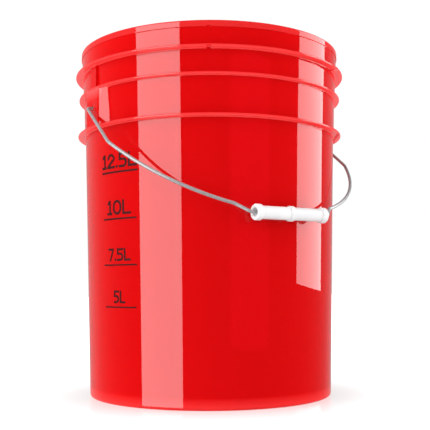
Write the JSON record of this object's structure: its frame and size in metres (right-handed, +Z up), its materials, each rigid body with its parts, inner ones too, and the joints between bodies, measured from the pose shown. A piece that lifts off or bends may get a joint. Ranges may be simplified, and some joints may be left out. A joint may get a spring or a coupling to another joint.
{
  "type": "wash bucket",
  "caption": "Tall open-top wash bucket with stacking rings, a swinging wire bail, a turning hand grip and a printed litre scale.",
  "frame": {"origin": "centre of the foot ring, on the ground", "axes": "+Z up along the bucket's axis; the two bail ears lie on +X and -X; the bail rests against the wall on the -Y side"},
  "size_m": [0.3104, 0.3025, 0.375],
  "materials": {
    "shell": "glossy translucent",
    "bail": "bright galvanised",
    "grip": "satin",
    "ink": "screen printed ink"
  },
  "bodies": {
    "pail": {"bucket_shell": "shell", "scale_mark_5l": "ink", "scale_mark_7_5l": "ink", "scale_mark_10l": "ink", "scale_mark_12_5l": "ink"},
    "bail": {"bail_wire": "bail"},
    "grip": {"bail_grip": "grip"}
  },
  "joints": [
    {"name": "bail_swing", "type": "hinge", "parent": "pail", "child": "bail", "pos_m": [0, 0, 0.3024], "axis": [-1, 0, 0], "range_deg": [0, 256.8]},
    {"name": "grip_turn", "type": "hinge", "parent": "bail", "child": "grip", "pos_m": [0, -0.14459, 0.1878], "axis": [1, 0, 0], "continuous": true}
  ]
}
